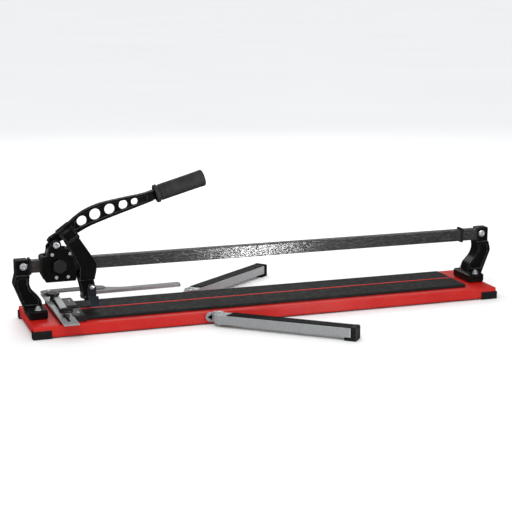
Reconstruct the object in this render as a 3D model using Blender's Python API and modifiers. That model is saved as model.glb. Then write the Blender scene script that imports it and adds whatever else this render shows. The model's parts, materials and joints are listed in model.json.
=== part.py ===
"""Push tile cutter for 1200 mm tiles, modelled as separate pieces.

Frame: +X runs along the bed, from the parked carriage to the far post, +Y goes
from the operator's side to the back, +Z is up. The origin is on the floor under
the middle of the bed.
"""

import math

import bmesh
import bpy
from mathutils import Matrix, Vector

MM = 0.001
GAP = 0.3 * MM  # clearance between pieces that touch

# Bed
CUT_LENGTH = 1200 * MM
BASE_LENGTH = 1450 * MM
BASE_WIDTH = 260 * MM
BASE_TOP = 36 * MM
BASE_BOTTOM = 3.2 * MM
SHEET = 2.5 * MM
END_LIP_BOTTOM = 11 * MM
PAD_TOP = 45 * MM
PAD_RIGHT = 635 * MM
STOP_FACE = PAD_RIGHT - CUT_LENGTH - 6 * MM
PAD_LEFT = STOP_FACE - 21 * MM
PAD_HALF_WIDTH = 98 * MM
RIDGE_HALF_WIDTH = 2.5 * MM
RIDGE_TOP = 46.5 * MM

# Rail and posts
RAIL_LENGTH = 1470 * MM
RAIL_WIDTH = 25 * MM
RAIL_BOTTOM = 165 * MM
RAIL_TOP = 200.5 * MM
RAIL_WALL = 3 * MM
POST_FOOT = (669 * MM, 723 * MM)
POST_HEAD = (715 * MM, 752 * MM)
POST_HEAD_Z = (158 * MM, 205 * MM)
POST_BODY_HALF = 23.5 * MM
POST_HEAD_HALF = 17.5 * MM
POST_FOOT_TOP = 63 * MM
POST_BOLT = (729 * MM, 186 * MM)
POST_SCREW_X = 696 * MM
POST_SCREW_Y = 44 * MM
BUMPER_X = (-709.5 * MM, 661 * MM)

# Carriage, at its parked place
ROLLER_RADIUS = 15.5 * MM
ROLLER_HALF_WIDTH = 12 * MM
UPPER_ROLLER_Z = RAIL_TOP + ROLLER_RADIUS + GAP
LOWER_ROLLER_Z = RAIL_BOTTOM - ROLLER_RADIUS - GAP
UPPER_ROLLER_X = (-647 * MM, -596 * MM)
LOWER_ROLLER_X = (-637 * MM, -603.5 * MM)
CHEEK = (16 * MM, 25 * MM)
HEX_CAP = (-628 * MM, 183 * MM)

# Lever and breaker, at rest
PIVOT = (-635 * MM, 244 * MM)
LEVER_HALF_WIDTH = 9 * MM
ARM_PLATE = (29.8 * MM, 37 * MM)
ARM_LEG = (14.2 * MM, 22 * MM)
WHEEL = (-555 * MM, 85 * MM)
WHEEL_RADIUS = 11 * MM
FOOT_HINGE = (-535.5 * MM, 113 * MM)
FOOT_HALF_WIDTH = 26 * MM
GRIP_START = Vector((-337 * MM, 0, 370.5 * MM))
GRIP_END = Vector((-189.5 * MM, 0, 412 * MM))

# Rip fence
RIP_BAR_X = (-648 * MM, -604 * MM)
RIP_BAR_Y = (-180 * MM, 197 * MM)
RIP_BAR_Z = (46.2 * MM, 50.2 * MM)
SLOT_Y = (-145 * MM, 160 * MM)
KNOB_Y = (-97 * MM, 105 * MM)
FENCE_PIVOT = (-626 * MM, 180 * MM)
FENCE_SKEW = math.radians(2)
FENCE_BAR_Z = (57 * MM, 60.5 * MM)
FENCE_RULE_BOTTOM = 46.9 * MM

# Support arms
ARM_HINGE = (-188 * MM, 156 * MM)
ARM_LENGTH = 397 * MM
ARM_WIDTH = 40 * MM
ARM_Z = (10 * MM, 36.4 * MM)
STRIP_TOP = 39.5 * MM
ARM_OPEN = {"near": math.radians(40), "far": math.radians(38)}


# ---------------------------------------------------------------- materials

def material(name, color, roughness, metallic=0.0):
    mat = bpy.data.materials.new(name)
    mat.use_nodes = True
    bsdf = mat.node_tree.nodes["Principled BSDF"]
    bsdf.inputs["Base Color"].default_value = (*color, 1)
    bsdf.inputs["Roughness"].default_value = roughness
    bsdf.inputs["Metallic"].default_value = metallic
    return mat


# ------------------------------------------------------------------ helpers

class Shop:
    """The two collections and the materials that every piece uses."""

    def __init__(self):
        self.parts = bpy.data.collections.new("tile_cutter")
        self.tools = bpy.data.collections.new("cutters")
        for collection in (self.parts, self.tools):
            bpy.context.scene.collection.children.link(collection)
        self.red = material("red_paint", (0.55, 0.02, 0.02), 0.35)
        self.black = material("black_casting", (0.015, 0.015, 0.016), 0.4)
        self.rubber = material("black_rubber", (0.02, 0.02, 0.02), 0.8)
        self.pad = material("pad_rubber", (0.025, 0.028, 0.027), 0.75)
        self.steel = material("dark_steel", (0.1, 0.1, 0.11), 0.35, 1)
        self.zinc = material("zinc", (0.75, 0.76, 0.78), 0.25, 1)
        self.alu = material("aluminium", (0.6, 0.6, 0.6), 0.35, 1)
        self.grey = material("grey_steel", (0.35, 0.36, 0.37), 0.4, 1)


def new_object(name, bm, collection, mat=None):
    mesh = bpy.data.meshes.new(name)
    bmesh.ops.recalc_face_normals(bm, faces=bm.faces)
    if bm.calc_volume(signed=True) < 0:
        bmesh.ops.reverse_faces(bm, faces=bm.faces)
    bm.to_mesh(mesh)
    bm.free()
    obj = bpy.data.objects.new(name, mesh)
    collection.objects.link(obj)
    if mat:
        mesh.materials.append(mat)
    else:
        obj.hide_render = True
        obj.display_type = "WIRE"
    return obj


def box(name, low, high, collection, mat=None):
    """A box between two corners, with its origin at its middle."""
    low, high = Vector(low), Vector(high)
    bm = bmesh.new()
    bmesh.ops.create_cube(bm, size=1)
    bmesh.ops.scale(bm, vec=high - low, verts=bm.verts)
    obj = new_object(name, bm, collection, mat)
    obj.location = (low + high) / 2
    return obj


def cylinder(name, radius, start, end, collection, mat=None, sides=24, end_radius=None):
    """A cylinder or cone from start to end."""
    start, end = Vector(start), Vector(end)
    bm = bmesh.new()
    bmesh.ops.create_cone(bm, cap_ends=True, segments=sides, radius1=radius,
                          radius2=radius if end_radius is None else end_radius,
                          depth=(end - start).length)
    obj = new_object(name, bm, collection, mat)
    obj.rotation_mode = "QUATERNION"
    obj.rotation_quaternion = (end - start).to_track_quat("Z", "Y")
    obj.location = (start + end) / 2
    return obj


def smooth(obj):
    obj.data.shade_smooth()
    obj.data.set_sharp_from_angle(angle=math.radians(35))
    return obj


def arc(center, radius, start, end, steps):
    """Points of an arc, in degrees, from start to end."""
    angles = [math.radians(start + (end - start) * i / steps) for i in range(steps + 1)]
    return [(center[0] + radius * math.cos(a), center[1] + radius * math.sin(a)) for a in angles]


def curved(points, steps=3):
    """A smooth curve through the points, from the first to the last."""
    run = []
    padded = [points[0], *points, points[-1]]
    for a, b, c, d in zip(padded, padded[1:], padded[2:], padded[3:]):
        for i in range(steps):
            t = i / steps
            weights = (-t + 2 * t ** 2 - t ** 3, 2 - 5 * t ** 2 + 3 * t ** 3, t + 4 * t ** 2 - 3 * t ** 3,
                       -t ** 2 + t ** 3)
            run.append(tuple(0.5 * sum(w * p[k] for w, p in zip(weights, (a, b, c, d))) for k in (0, 1)))
    return run + [tuple(points[-1])]


def plate(name, outline, low, high, collection, mat=None, along="Y"):
    """A flat outline given a thickness from low to high along one axis.

    Along Y the outline is in X and Z, along Z in X and Y, along X in Y and Z.
    """
    curve = bpy.data.curves.new(name, "CURVE")
    curve.dimensions = "2D"
    curve.fill_mode = "BOTH"
    curve.extrude = (high - low) / 2
    spline = curve.splines.new("POLY")
    spline.points.add(len(outline) - 1)
    for point, (u, v) in zip(spline.points, outline):
        point.co = (u, v, 0, 1)
    spline.use_cyclic_u = True
    flat = bpy.data.objects.new(name + "_outline", curve)
    bpy.context.scene.collection.objects.link(flat)
    bpy.context.view_layer.update()
    evaluated = flat.evaluated_get(bpy.context.evaluated_depsgraph_get())
    bm = bmesh.new()
    mesh = bpy.data.meshes.new_from_object(evaluated)
    bm.from_mesh(mesh)
    bpy.data.objects.remove(flat)
    bpy.data.curves.remove(curve)
    bpy.data.meshes.remove(mesh)
    bmesh.ops.remove_doubles(bm, verts=bm.verts, dist=1e-6)
    bmesh.ops.dissolve_limit(bm, angle_limit=0.001, verts=bm.verts, edges=bm.edges)
    bmesh.ops.translate(bm, vec=(0, 0, (low + high) / 2), verts=bm.verts)
    for vert in bm.verts:
        u, v, w = vert.co
        vert.co = {"X": (w, u, v), "Y": (u, w, v), "Z": (u, v, w)}[along]
    return new_object(name, bm, collection, mat)


def boolean(target, other, operation):
    mod = target.modifiers.new(operation.lower(), "BOOLEAN")
    mod.operation = operation
    mod.object = other
    mod.solver = "EXACT"
    return target


def bevel(obj, width, segments=1, angle=40):
    mod = obj.modifiers.new("bevel", "BEVEL")
    mod.width = width
    mod.segments = segments
    mod.limit_method = "ANGLE"
    mod.angle_limit = math.radians(angle)
    return obj


def turned(name, profile, start, direction, collection, mat=None, steps=24):
    """A turned piece. The profile has (radius, distance) pairs measured from start."""
    bm = bmesh.new()
    verts = [bm.verts.new((r, 0, d)) for r, d in profile]
    closed = profile[0][0] > 0
    pairs = list(zip(verts, verts[1:])) + ([(verts[-1], verts[0])] if closed else [])
    for a, b in pairs:
        bm.edges.new((a, b))
    mesh = bpy.data.meshes.new(name)
    bm.to_mesh(mesh)
    bm.free()
    obj = bpy.data.objects.new(name, mesh)
    collection.objects.link(obj)
    if mat:
        mesh.materials.append(mat)
    else:
        obj.hide_render = True
        obj.display_type = "WIRE"
    mod = obj.modifiers.new("screw", "SCREW")
    mod.steps = mod.render_steps = steps
    mod.use_merge_vertices = True
    mod.merge_threshold = 0.00001
    mod.use_smooth_shade = False
    obj.rotation_mode = "QUATERNION"
    obj.rotation_quaternion = Vector(direction).to_track_quat("Z", "Y")
    obj.location = start
    return obj


def bolt(shop, name, under_head, direction, shaft, length, head, height, mat=None, sides=6):
    """A bolt whose head sits on under_head and whose shaft runs along direction."""
    start, way = Vector(under_head), Vector(direction).normalized()
    obj = cylinder(name, head, start - way * height, start, shop.parts, mat or shop.zinc, sides)
    stem = cylinder(name + "_shaft", shaft, start - way * height / 2, start + way * length, shop.tools,
                    sides=16)
    boolean(obj, stem, "UNION")
    return obj


# --------------------------------------------------------------------- base

def build_base(shop):
    half_x, half_y = BASE_LENGTH / 2, BASE_WIDTH / 2
    pan = box("base_pan", (-half_x, -half_y, BASE_BOTTOM), (half_x, half_y, BASE_TOP), shop.parts, shop.red)
    bevel(pan, 3 * MM, 2)
    hollow = box("pan_hollow", (-half_x + SHEET, -half_y + SHEET, -BASE_TOP),
                 (half_x - SHEET, half_y - SHEET, BASE_TOP - SHEET), shop.tools)
    boolean(pan, hollow, "DIFFERENCE")
    short = box("end_lip_cut", (-half_x - SHEET, -half_y + 30 * MM, -BASE_TOP),
                (half_x + SHEET, half_y - 30 * MM, END_LIP_BOTTOM), shop.tools)
    boolean(pan, short, "DIFFERENCE")
    ridge = box("breaker_ridge", (PAD_LEFT, -RIDGE_HALF_WIDTH, BASE_TOP + GAP),
                (PAD_RIGHT, RIDGE_HALF_WIDTH, RIDGE_TOP), shop.parts, shop.red)
    bevel(ridge, 1 * MM, 2)
    for side, word in ((-1, "near"), (1, "far")):
        inner, outer = side * (RIDGE_HALF_WIDTH + GAP), side * PAD_HALF_WIDTH
        pad = box("pad_" + word, (PAD_LEFT, min(inner, outer), BASE_TOP + GAP),
                  (PAD_RIGHT, max(inner, outer), PAD_TOP), shop.parts, shop.pad)
        bevel(pad, 1 * MM)
        section = [(19 * MM, PAD_TOP + GAP), (PAD_HALF_WIDTH + GAP, PAD_TOP + GAP),
                   (PAD_HALF_WIDTH + GAP, BASE_TOP + GAP), (111 * MM, BASE_TOP + GAP),
                   (111 * MM, PAD_TOP + 8 * MM), (19 * MM, PAD_TOP + 8 * MM)]
        section = [(side * y, z) for y, z in section]
        stop = plate("stop_plate_" + word, section, STOP_FACE - 33 * MM, STOP_FACE, shop.parts, shop.grey,
                     along="X")
        bevel(stop, 1.2 * MM)
        place = Vector((STOP_FACE - 16 * MM, side * 68 * MM, 0))
        hole = cylinder("stop_hole_" + word, 2.8 * MM, place + Vector((0, 0, BASE_TOP - MM)),
                        place + Vector((0, 0, PAD_TOP + 20 * MM)), shop.tools, sides=16)
        boolean(pad, hole, "DIFFERENCE")
        boolean(stop, hole, "DIFFERENCE")
        bolt(shop, "stop_screw_" + word, place + Vector((0, 0, PAD_TOP + 8 * MM + GAP)), (0, 0, -1),
             2.5 * MM, 15 * MM, 5 * MM, 2.5 * MM, sides=16)


def build_corner_feet(shop):
    """Rubber caps that wrap the pan's lower corners."""
    wall, length, depth, height = 3 * MM, 54 * MM, 24 * MM, 24 * MM
    for sx, end in ((-1, "left"), (1, "right")):
        for sy, word in ((-1, "near"), (1, "far")):
            corner_x, corner_y = sx * (BASE_LENGTH / 2 + wall), sy * (BASE_WIDTH / 2 + wall)
            inner_x, inner_y = corner_x - sx * length, corner_y - sy * depth
            foot = box(f"corner_foot_{end}_{word}", (min(corner_x, inner_x), min(corner_y, inner_y), 0),
                       (max(corner_x, inner_x), max(corner_y, inner_y), height), shop.parts, shop.rubber)
            bevel(foot, 1.5 * MM)
            clear_x, clear_y = corner_x - sx * (wall - GAP), corner_y - sy * (wall - GAP)
            far_x, far_y = inner_x - sx * wall, inner_y - sy * wall
            slots = ((clear_x, far_x, clear_y, clear_y - sy * (SHEET + 2 * GAP)),
                     (clear_x, clear_x - sx * (SHEET + 2 * GAP), clear_y, far_y))
            for i, (x0, x1, y0, y1) in enumerate(slots):
                slot = box(f"foot_slot_{end}_{word}_{i}", (min(x0, x1), min(y0, y1), BASE_BOTTOM - GAP),
                           (max(x0, x1), max(y0, y1), 2 * height), shop.tools)
                boolean(foot, slot, "DIFFERENCE")


def post_outline():
    """The post's side view for the right end: foot, curved waist and head."""
    inner = [(681 * MM, 82 * MM), (685 * MM, 91 * MM), (694 * MM, 101 * MM), (704 * MM, 112 * MM),
             (711 * MM, 124 * MM), (714.5 * MM, 137 * MM), (714 * MM, 150 * MM), (712 * MM, 161 * MM)]
    outer = [(751 * MM, 161 * MM), (756.5 * MM, 140 * MM), (757 * MM, 131 * MM), (753 * MM, 120 * MM)]
    return ([(POST_FOOT[0] + 12 * MM, POST_FOOT_TOP - 4 * MM)] + curved(inner) + curved(outer)
            + [(728 * MM, POST_FOOT_TOP - 8 * MM), (720 * MM, POST_FOOT_TOP - 20 * MM),
               (POST_FOOT[0] + 20 * MM, POST_FOOT_TOP - 20 * MM)])


def build_posts(shop):
    for side, word in ((-1, "left"), (1, "right")):
        outline = [(side * x, z) for x, z in post_outline()]
        post = plate("post_" + word, outline, -POST_BODY_HALF, POST_BODY_HALF, shop.parts, shop.black)
        x0, x1 = sorted((side * POST_FOOT[0], side * POST_FOOT[1]))
        foot = box("post_foot_" + word, (x0, -54 * MM, BASE_TOP + GAP), (x1, 54 * MM, POST_FOOT_TOP),
                   shop.tools)
        bevel(foot, 4 * MM, 1, 80)
        x0, x1 = sorted((side * POST_HEAD[0], side * POST_HEAD[1]))
        head = box("post_head_" + word, (x0, -POST_HEAD_HALF, POST_HEAD_Z[0]),
                   (x1, POST_HEAD_HALF, POST_HEAD_Z[1]), shop.tools)
        bevel(head, 2 * MM)
        boolean(post, foot, "UNION")
        boolean(post, head, "UNION")
        pocket_inner = [(690 * MM, 88 * MM), (701 * MM, 98 * MM), (711 * MM, 110 * MM), (718 * MM, 123 * MM),
                        (721.5 * MM, 138 * MM), (721 * MM, 152 * MM)]
        pocket_outer = [(745 * MM, 152 * MM), (750 * MM, 133 * MM), (746 * MM, 122 * MM), (728 * MM, 74 * MM),
                        (691 * MM, 74 * MM)]
        pocket_outline = [(side * x, z) for x, z in curved(pocket_inner) + pocket_outer]
        for y in (-1, 1):
            low, high = sorted((y * (POST_BODY_HALF - 5 * MM), y * 40 * MM))
            pocket = plate(f"post_pocket_{word}_{y + 1}", pocket_outline, low, high, shop.tools)
            boolean(post, pocket, "DIFFERENCE")
        x0, x1 = sorted((side * 690 * MM, side * (RAIL_LENGTH / 2 + GAP)))
        socket = box("rail_socket_" + word, (x0, -RAIL_WIDTH / 2 - GAP, RAIL_BOTTOM - GAP),
                     (x1, RAIL_WIDTH / 2 + GAP, RAIL_TOP + GAP), shop.tools)
        boolean(post, socket, "DIFFERENCE")
        cross = cylinder("rail_bolt_hole_" + word, 6.3 * MM, (side * POST_BOLT[0], -40 * MM, POST_BOLT[1]),
                         (side * POST_BOLT[0], 40 * MM, POST_BOLT[1]), shop.tools, sides=16)
        boolean(post, cross, "DIFFERENCE")
        bolt(shop, "rail_bolt_" + word, (side * POST_BOLT[0], -POST_HEAD_HALF - GAP, POST_BOLT[1]), (0, 1, 0),
             6 * MM, 2 * POST_HEAD_HALF + 8 * MM, 10.5 * MM, 6 * MM, sides=24)
        for y, where in ((-1, "near"), (1, "far")):
            place = Vector((side * POST_SCREW_X, y * POST_SCREW_Y, POST_FOOT_TOP))
            hole = cylinder(f"post_screw_hole_{word}_{where}", 4.4 * MM, place - Vector((0, 0, 40 * MM)),
                            place + Vector((0, 0, 20 * MM)), shop.tools, sides=16)
            boolean(post, hole, "DIFFERENCE")
            boolean(bpy.data.objects["base_pan"], hole, "DIFFERENCE")
            screw = bolt(shop, f"post_screw_{word}_{where}", place + Vector((0, 0, GAP)), (0, 0, -1),
                         4 * MM, 34 * MM, 9.5 * MM, 2 * MM, sides=20)
            nut = cylinder(f"post_nut_{word}_{where}", 7.5 * MM, place + Vector((0, 0, MM)),
                           place + Vector((0, 0, 9 * MM)), shop.tools, sides=6)
            stub = cylinder(f"post_stub_{word}_{where}", 4 * MM, place + Vector((0, 0, 5 * MM)),
                            place + Vector((0, 0, 12.5 * MM)), shop.tools, sides=16)
            boolean(screw, nut, "UNION")
            boolean(screw, stub, "UNION")


def build_rail(shop):
    rail = box("guide_rail", (-RAIL_LENGTH / 2, -RAIL_WIDTH / 2, RAIL_BOTTOM),
               (RAIL_LENGTH / 2, RAIL_WIDTH / 2, RAIL_TOP), shop.parts, shop.steel)
    bevel(rail, 1.5 * MM)
    hollow = box("rail_hollow", (-RAIL_LENGTH, -RAIL_WIDTH / 2 + RAIL_WALL, RAIL_BOTTOM + RAIL_WALL),
                 (RAIL_LENGTH, RAIL_WIDTH / 2 - RAIL_WALL, RAIL_TOP - RAIL_WALL), shop.tools)
    boolean(rail, hollow, "DIFFERENCE")
    for word in ("left", "right"):
        boolean(rail, bpy.data.objects["rail_bolt_hole_" + word], "DIFFERENCE")
    for x, word in zip(BUMPER_X, ("left", "right")):
        ring = box("bumper_ring_" + word, (x - 4 * MM, -RAIL_WIDTH / 2 - 4.5 * MM, RAIL_BOTTOM - 4.5 * MM),
                   (x + 4 * MM, RAIL_WIDTH / 2 + 4.5 * MM, RAIL_TOP + 6 * MM), shop.parts, shop.rubber)
        bevel(ring, 3 * MM, 2, 80)
        core = box("bumper_core_" + word, (x - 20 * MM, -RAIL_WIDTH / 2 - GAP, RAIL_BOTTOM - GAP),
                   (x + 20 * MM, RAIL_WIDTH / 2 + GAP, RAIL_TOP + GAP), shop.tools)
        boolean(ring, core, "DIFFERENCE")


# ----------------------------------------------------------------- rip fence

def build_fence(shop):
    mid_x = sum(RIP_BAR_X) / 2
    guide = box("rip_bar_guide", (RIP_BAR_X[0] + 0.5 * MM, -118 * MM, BASE_TOP + GAP),
                (mid_x + 15 * MM, 122 * MM, RIP_BAR_Z[0] - GAP), shop.parts, shop.black)
    bevel(guide, 1 * MM)
    bar = box("rip_bar", (RIP_BAR_X[0], RIP_BAR_Y[0], RIP_BAR_Z[0]),
              (RIP_BAR_X[1], RIP_BAR_Y[1], RIP_BAR_Z[1]), shop.parts, shop.alu)
    bevel(bar, 0.8 * MM)
    half = 4.7 * MM
    slot_outline = (arc((mid_x, SLOT_Y[1]), half, 0, 180, 8) + arc((mid_x, SLOT_Y[0]), half, 180, 360, 8))
    slot = plate("rip_slot", slot_outline, 30 * MM, 70 * MM, shop.tools, along="Z")
    boolean(bar, slot, "DIFFERENCE")
    top = RIP_BAR_Z[1] + GAP
    strap_z = (61.5 * MM, 64.5 * MM)
    strap_outline = (arc((mid_x + 8 * MM, KNOB_Y[1] - 18 * MM), 9 * MM, 0, 180, 8)
                     + arc((mid_x, KNOB_Y[0]), 10.5 * MM, 180, 360, 8))
    strap = plate("tie_strap", strap_outline, *strap_z, shop.parts, shop.alu, along="Z")
    near_eye = cylinder("strap_eye", 6.4 * MM, (mid_x, KNOB_Y[0], 55 * MM), (mid_x, KNOB_Y[0], 75 * MM),
                        shop.tools, sides=24)
    boolean(strap, near_eye, "DIFFERENCE")
    for y, word, neck in zip(KNOB_Y, ("near", "far"), (6 * MM, 9.4 * MM)):
        shoulder, under = strap_z[0] - GAP - top, strap_z[1] + GAP - top
        crown = under + 9 * MM
        profile = [(0, crown), (18 * MM, crown), (20 * MM, crown - 2 * MM), (20 * MM, under + 2 * MM),
                   (18 * MM, under), (neck, under), (neck, shoulder), (9.5 * MM, shoulder), (9.5 * MM, 0),
                   (4 * MM, 0), (4 * MM, -24 * MM), (0, -24 * MM)]
        turned("clamp_knob_" + word, profile, (mid_x, y, top), (0, 0, 1), shop.parts, shop.black)
        tap = cylinder("knob_tap_" + word, 4.4 * MM, (mid_x, y, 20 * MM), (mid_x, y, 48 * MM), shop.tools,
                       sides=24)
        boolean(guide, tap, "DIFFERENCE")
        boolean(bpy.data.objects["base_pan"], tap, "DIFFERENCE")

    pivot = Vector((*FENCE_PIVOT, 0))
    turn = Matrix.Translation(pivot) @ Matrix.Rotation(FENCE_SKEW, 4, "Z")
    half = 19.5 * MM
    bar_outline = (arc((156 * MM, 0), half, -90, 90, 8) + arc((-5 * MM, 0), half, 90, 270, 8))
    cross = plate("fence_bar", bar_outline, *FENCE_BAR_Z, shop.parts, shop.alu, along="Z")
    bevel(cross, 0.8 * MM)
    boss = cylinder("fence_boss", 11 * MM, (0, 0, RIP_BAR_Z[1] + GAP), (0, 0, FENCE_BAR_Z[0] + MM),
                    shop.tools)
    boolean(cross, boss, "UNION")
    bore = cylinder("fence_bore", 3.4 * MM, (0, 0, 30 * MM), (0, 0, 80 * MM), shop.tools, sides=16)
    boolean(cross, bore, "DIFFERENCE")
    groove_outline = arc((140 * MM, 0), 3.5 * MM, -90, 90, 6) + arc((30 * MM, 0), 3.5 * MM, 90, 270, 6)
    groove = plate("fence_slot", groove_outline, 50 * MM, 70 * MM, shop.tools, along="Z")
    boolean(cross, groove, "DIFFERENCE")
    rule_outline = [(100 * MM, -36 * MM), (404 * MM, -36 * MM), (408 * MM, -32 * MM), (408 * MM, -13 * MM),
                    (404 * MM, -9 * MM), (238 * MM, -9 * MM), (222 * MM, -7.5 * MM), (206 * MM, -2 * MM),
                    (192 * MM, 5 * MM), (178 * MM, 11 * MM), (164 * MM, 13 * MM), (100 * MM, 13 * MM)]
    rule = plate("fence_rule", rule_outline, FENCE_RULE_BOTTOM, FENCE_BAR_Z[0] - GAP, shop.parts, shop.alu,
                 along="Z")
    bevel(rule, 0.8 * MM)
    for obj in (cross, boss, bore, groove, rule):
        obj.matrix_world = turn @ obj.matrix_basis
    boolean(bar, bore, "DIFFERENCE")
    bolt(shop, "fence_pivot_screw", (*FENCE_PIVOT, FENCE_BAR_Z[1] + GAP), (0, 0, -1), 3 * MM, 13.5 * MM,
         6 * MM, 3 * MM, sides=16)


# -------------------------------------------------------------- support arms

def build_arms(shop):
    for side, word in ((-1, "near"), (1, "far")):
        hinge = Vector((ARM_HINGE[0], side * ARM_HINGE[1], 0))
        skirt = side * (BASE_WIDTH / 2 + GAP)
        low, high = sorted((skirt, side * (BASE_WIDTH / 2 + 5 * MM)))
        flange_outline = (arc((-212 * MM, 23 * MM), 14 * MM, 90, 270, 8)
                          + [(-170 * MM, 8 * MM), (-170 * MM, 35 * MM)])
        bracket = plate("arm_bracket_" + word, flange_outline, low, high, shop.parts, shop.zinc)
        notch = plate("bracket_notch_" + word, [(-221 * MM, 23 * MM), (-206 * MM, 13 * MM),
                                                (-206 * MM, 33 * MM)],
                      low - 9 * MM, high + 9 * MM, shop.tools)
        boolean(bracket, notch, "DIFFERENCE")
        for z, which in (((6 * MM, 9.6 * MM), "lower"), ((ARM_Z[1] + GAP, STRIP_TOP), "upper")):
            reach = ARM_HINGE[1] + 11 * MM
            ear_outline = [(-202 * MM, side * (BASE_WIDTH / 2 + MM)), (-202 * MM, side * reach),
                           (-178 * MM, side * reach), (-178 * MM, side * (BASE_WIDTH / 2 + MM))]
            ear = plate(f"bracket_ear_{which}_{word}", ear_outline, *z, shop.tools, along="Z")
            boolean(bracket, ear, "UNION")
        link = box("bracket_web_" + word, (-202 * MM, min(skirt, side * (BASE_WIDTH / 2 + 5 * MM)), 7 * MM),
                   (-178 * MM, max(skirt, side * (BASE_WIDTH / 2 + 5 * MM)), STRIP_TOP - MM), shop.tools)
        boolean(bracket, link, "UNION")
        pin_hole = cylinder("arm_pin_hole_" + word, 4.3 * MM, hinge, hinge + Vector((0, 0, 60 * MM)),
                            shop.tools, sides=16)
        boolean(bracket, pin_hole, "DIFFERENCE")
        pin = bolt(shop, "arm_hinge_bolt_" + word, hinge + Vector((0, 0, STRIP_TOP + GAP)), (0, 0, -1),
                   4 * MM, 37.5 * MM, 7 * MM, 4 * MM)
        nut = cylinder("arm_nut_" + word, 6.5 * MM, hinge + Vector((0, 0, 2.5 * MM)),
                       hinge + Vector((0, 0, 6 * MM - GAP)), shop.tools, sides=6)
        boolean(pin, nut, "UNION")

        turn = Matrix.Translation(hinge) @ Matrix.Rotation(side * ARM_OPEN[word], 4, "Z")
        half = ARM_WIDTH / 2
        tube_outline = (arc((0, 0), half, 90, 270, 8)
                        + [(ARM_LENGTH, -half), (ARM_LENGTH, half)])
        tube = plate("arm_tube_" + word, tube_outline, *ARM_Z, shop.parts, shop.alu, along="Z")
        bevel(tube, 1 * MM)
        inner = box("tube_hollow_" + word, (30 * MM, -half + 2 * MM, ARM_Z[0] + 2 * MM),
                    (ARM_LENGTH + 10 * MM, half - 2 * MM, ARM_Z[1] - 2 * MM), shop.tools)
        bore = cylinder("tube_bore_" + word, 4.3 * MM, (0, 0, 0), (0, 0, 60 * MM), shop.tools, sides=16)
        strip_z = (ARM_Z[1] + GAP, STRIP_TOP)
        strip = box("arm_strip_" + word, (26 * MM, -half + MM, strip_z[0]),
                    (ARM_LENGTH, half - MM, strip_z[1]), shop.parts, shop.rubber)
        bevel(strip, 0.8 * MM)
        cap_outline = [(ARM_LENGTH + GAP, 40 * MM), (ARM_LENGTH + 15 * MM, 40 * MM),
                       (ARM_LENGTH + 18 * MM, 37 * MM),
                       (ARM_LENGTH + 18 * MM, 0), (ARM_LENGTH - 18 * MM, 0), (ARM_LENGTH - 18 * MM, 9.6 * MM),
                       (ARM_LENGTH + GAP, 9.6 * MM)]
        cap = plate("arm_end_cap_" + word, cap_outline, -half, half, shop.parts, shop.rubber)
        bevel(cap, 1.5 * MM)
        for obj in (tube, inner, bore, strip, cap):
            obj.matrix_world = turn @ obj.matrix_basis
        boolean(tube, inner, "DIFFERENCE")
        boolean(tube, bore, "DIFFERENCE")


# ------------------------------------------------------------------ carriage

def build_carriage(shop):
    outline = ([(-667 * MM, 136 * MM), (-583 * MM, 136 * MM), (-579 * MM, 140 * MM), (-579 * MM, 172 * MM),
                (-596 * MM, 224 * MM), (-600 * MM, 230 * MM), (-618 * MM, 232 * MM)]
               + arc(PIVOT, 15 * MM, 0, 180, 10)
               + [(-657 * MM, 236 * MM), (-659 * MM, 214 * MM), (-675 * MM, 212 * MM), (-679 * MM, 207 * MM),
                  (-679 * MM, 160 * MM)])
    axles = ([(x, UPPER_ROLLER_Z, f"top_{i}") for i, x in enumerate(UPPER_ROLLER_X)]
             + [(x, LOWER_ROLLER_Z, f"bottom_{i}") for i, x in enumerate(LOWER_ROLLER_X)])
    for side, word in ((-1, "near"), (1, "far")):
        low, high = sorted((side * CHEEK[0], side * CHEEK[1]))
        cheek = plate("carriage_cheek_" + word, outline, low, high, shop.parts, shop.black)
        bevel(cheek, 1.2 * MM)
        low, high = sorted((side * GAP, side * (CHEEK[0] + MM)))
        wall = box("carriage_end_wall_" + word, (-679 * MM, low, 203 * MM), (-668 * MM, high, 211 * MM),
                   shop.tools)
        boolean(cheek, wall, "UNION")
        for x, z, label in axles:
            hole = cylinder(f"axle_hole_{label}_{word}", 4.3 * MM, (x, low - 60 * MM, z),
                            (x, high + 60 * MM, z), shop.tools, sides=16)
            boolean(cheek, hole, "DIFFERENCE")
        pivot_hole = cylinder("pivot_hole_" + word, 6.3 * MM, (PIVOT[0], -60 * MM, PIVOT[1]),
                              (PIVOT[0], 60 * MM, PIVOT[1]), shop.tools, sides=20)
        boolean(cheek, pivot_hole, "DIFFERENCE")
    for x, z, label in axles:
        half = ROLLER_HALF_WIDTH
        profile = [(ROLLER_RADIUS, half - MM), (ROLLER_RADIUS, -half + MM), (ROLLER_RADIUS - MM, -half),
                   (4.4 * MM, -half), (4.4 * MM, half), (ROLLER_RADIUS - MM, half)]
        turned("roller_" + label, profile, (x, 0, z), (0, 1, 0), shop.parts, shop.zinc, steps=28)
        bolt(shop, "roller_bolt_" + label, (x, -CHEEK[1] - GAP, z), (0, 1, 0), 4 * MM, 2 * CHEEK[1] + 5 * MM,
             5 * MM, 3.5 * MM)
    cap = cylinder("hex_cap", 22 * MM, (HEX_CAP[0], -CHEEK[1] - 15 * MM, HEX_CAP[1]),
                   (HEX_CAP[0], -CHEEK[1] - GAP, HEX_CAP[1]), shop.parts, shop.black, 6)
    bevel(cap, 2 * MM)


# ----------------------------------------------------- lever, arms and foot

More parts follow.
